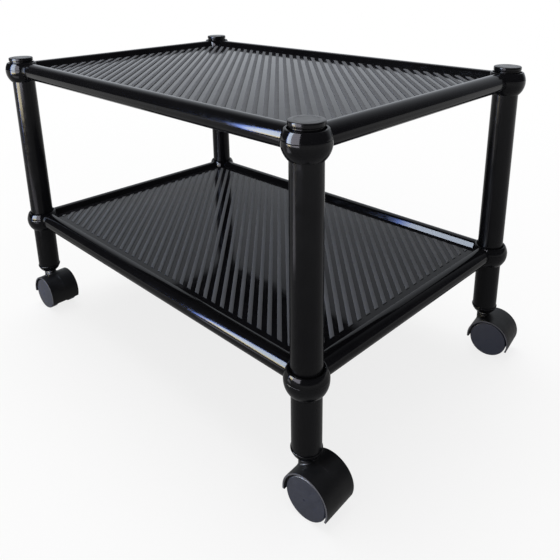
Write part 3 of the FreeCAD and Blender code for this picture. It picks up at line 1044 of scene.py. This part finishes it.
# %% The finish of the floor
fade_range = (0.5, 1.6)        # metres from the trolley's middle, over which the floor whitens
plain_share = 0.8              # how much of the floor below the trolley is plain white
# painted shade: near the trolley, reflections see the floor's plain white this dim
mirrored_white_painted_shade = 0.35          # how bright that white is in a reflection
floor_shade = (0.92, 0.92, 0.92, 1)


def white_floor():
    finish = bpy.data.materials.new("white_floor")
    finish.use_nodes = True
    tree = finish.node_tree
    lit = tree.nodes["Principled BSDF"]
    lit.inputs["Roughness"].default_value = 0.9
    lit.inputs["Specular IOR Level"].default_value = 0.0
    lit.inputs["Base Color"].default_value = floor_shade
    spot = tree.nodes.new("ShaderNodeTexCoord")
    reach = tree.nodes.new("ShaderNodeVectorMath")
    reach.operation = "LENGTH"
    tree.links.new(spot.outputs["Object"], reach.inputs[0])
    plainer = ramp(tree, reach.outputs["Value"], fade_range, low=plain_share, high=1)
    # painted shade: a mirrored ray sees the floor darker near the trolley, full white further off
    painted_shade_ramp = ramp(tree, reach.outputs["Value"], fade_range, low=mirrored_white_painted_shade, high=1)
    mirrored = whichever(tree, "Is Glossy Ray", "Is Transmission Ray")
    plain = tree.nodes.new("ShaderNodeEmission")
    tree.links.new(mixed(tree, mirrored, white, painted_shade_ramp), plain.inputs["Color"])
    share = tree.nodes.new("ShaderNodeMath")
    share.operation = "MULTIPLY"
    seen = whichever(tree, "Is Camera Ray", "Is Glossy Ray", "Is Transmission Ray")
    tree.links.new(seen, share.inputs[0])
    tree.links.new(plainer, share.inputs[1])
    blend = tree.nodes.new("ShaderNodeMixShader")
    tree.links.new(share.outputs["Value"], blend.inputs["Fac"])
    tree.links.new(lit.outputs["BSDF"], blend.inputs[1])
    tree.links.new(plain.outputs["Emission"], blend.inputs[2])
    tree.links.new(blend.outputs["Shader"], tree.nodes["Material Output"].inputs["Surface"])
    return finish


# %% The floor
floor_half = 6                 # metres from its middle to each side

bm = bmesh.new()
bmesh.ops.create_grid(bm, x_segments=1, y_segments=1, size=floor_half)
floor_mesh = bpy.data.meshes.new("floor")
bm.to_mesh(floor_mesh)
bm.free()
floor_mesh.materials.append(white_floor())
ground = bpy.data.objects.new("floor", floor_mesh)
bpy.context.scene.collection.objects.link(ground)
print("the floor is", 2 * floor_half, "m wide")

# %% [markdown]
# ## Lamps
#
# One broad sun stands in for a large soft lamp overhead and makes the shadow below the trolley.
# It shows in no reflection, because a real soft lamp that large would have no outline either.

# %% The overhead lamp
sun_data = bpy.data.lights.new("overhead", "SUN")
sun_data.energy = 1.5
sun_data.angle = math.radians(40)
sun_direction = Vector((0.30, -0.10, -1.0))
sun = bpy.data.objects.new("overhead", sun_data)
sun.rotation_euler = sun_direction.to_track_quat("-Z", "Y").to_euler()
sun.visible_glossy = False
bpy.context.scene.collection.objects.link(sun)
print("overhead lamp at strength", sun_data.energy)

# %% [markdown]
# A window to the left of the viewer is there for its reflection alone. It draws the long pale
# streaks along the round sides of the rails and on the slanted wall at the back, blue where its
# edge is seen. A lit sill and a patch of lit floor below it give them a warm lower edge, and a
# curtain beside it fills in more dimly. Painting such streaks into the material would be wrong
# from any other side, while lit rectangles stay put and let the plastic mirror them.

# %% What the plastic mirrors
def reflected_patch(name, where, turn_degrees, size, brightness, colour):
    """A lit rectangle that shows only in reflections; turn is about X and then about Z."""
    data = bpy.data.lights.new(name, "AREA")
    data.shape = "RECTANGLE"
    data.size, data.size_y = size
    data.energy = brightness * 4 * size[0] * size[1]
    data.color = colour
    patch = bpy.data.objects.new(name, data)
    patch.location = where
    patch.rotation_euler = [math.radians(turn) for turn in (turn_degrees[0], 0, turn_degrees[1])]
    patch.visible_camera = False
    patch.visible_diffuse = False
    bpy.context.scene.collection.objects.link(patch)
    print(name, "is", size[0], "by", size[1], "m")


upright = (90, 0)              # facing the trolley, from the front
window_y = -0.85
reflected_patch(
    "window", where=(-0.29, window_y, 0.69), turn_degrees=upright, size=(0.40, 0.84),
    brightness=45, colour=(0.74, 0.84, 1.0),
)
reflected_patch(
    "window_edge", where=(-0.51, window_y, 0.61), turn_degrees=upright, size=(0.04, 1.0),
    brightness=45, colour=(0.20, 0.34, 1.0),
)
reflected_patch(
    "sunlit_sill", where=(-0.29, window_y, 0.22), turn_degrees=upright, size=(0.40, 0.10),
    brightness=40, colour=(1.0, 0.88, 0.58),
)
reflected_patch(
    "curtain", where=(0.16, window_y, 0.60), turn_degrees=upright, size=(0.50, 0.80),
    brightness=14, colour=(0.90, 0.88, 1.0),
)
reflected_patch(
    "sunlit_floor", where=(-0.27, -0.73, 0.005), turn_degrees=(180, 45), size=(0.55, 0.22),
    brightness=3, colour=(0.92, 0.90, 1.0),
)

# %% [markdown]
# ## The camera
#
# The trolley is seen from above its front right corner and from near, so that this corner comes
# forward. Aiming the camera further down would tip the posts together. A small lens shift does
# part of that work, and keeps them more nearly upright.

# %% Camera
camera_spot = (0.5906, -0.5250, 0.5001)
camera_yaw = 45.11             # degrees from looking along +Y, turned to the left
camera_pitch = 17.36           # degrees downwards
camera_roll = -0.78

camera_data = bpy.data.cameras.new("camera")
camera_data.sensor_width = 36
camera_data.lens = 38.96
camera_data.shift_y = -0.22
camera_data.clip_start = 0.01
camera = bpy.data.objects.new("camera", camera_data)
bpy.context.scene.collection.objects.link(camera)
bpy.context.scene.camera = camera
camera.location = camera_spot
yaw = Matrix.Rotation(math.radians(camera_yaw), 4, "Z")
pitch = Matrix.Rotation(math.radians(90 - camera_pitch), 4, "X")
roll = Matrix.Rotation(math.radians(camera_roll), 4, "Z")
camera.rotation_euler = (yaw @ pitch @ roll).to_euler()
print("camera at", camera_spot)

# %% [markdown]
# ## Close the lesson
#
# The render uses the standard view, so a colour comes out as it is written.

# %% Finish
bpy.context.scene.view_settings.view_transform = "Standard"
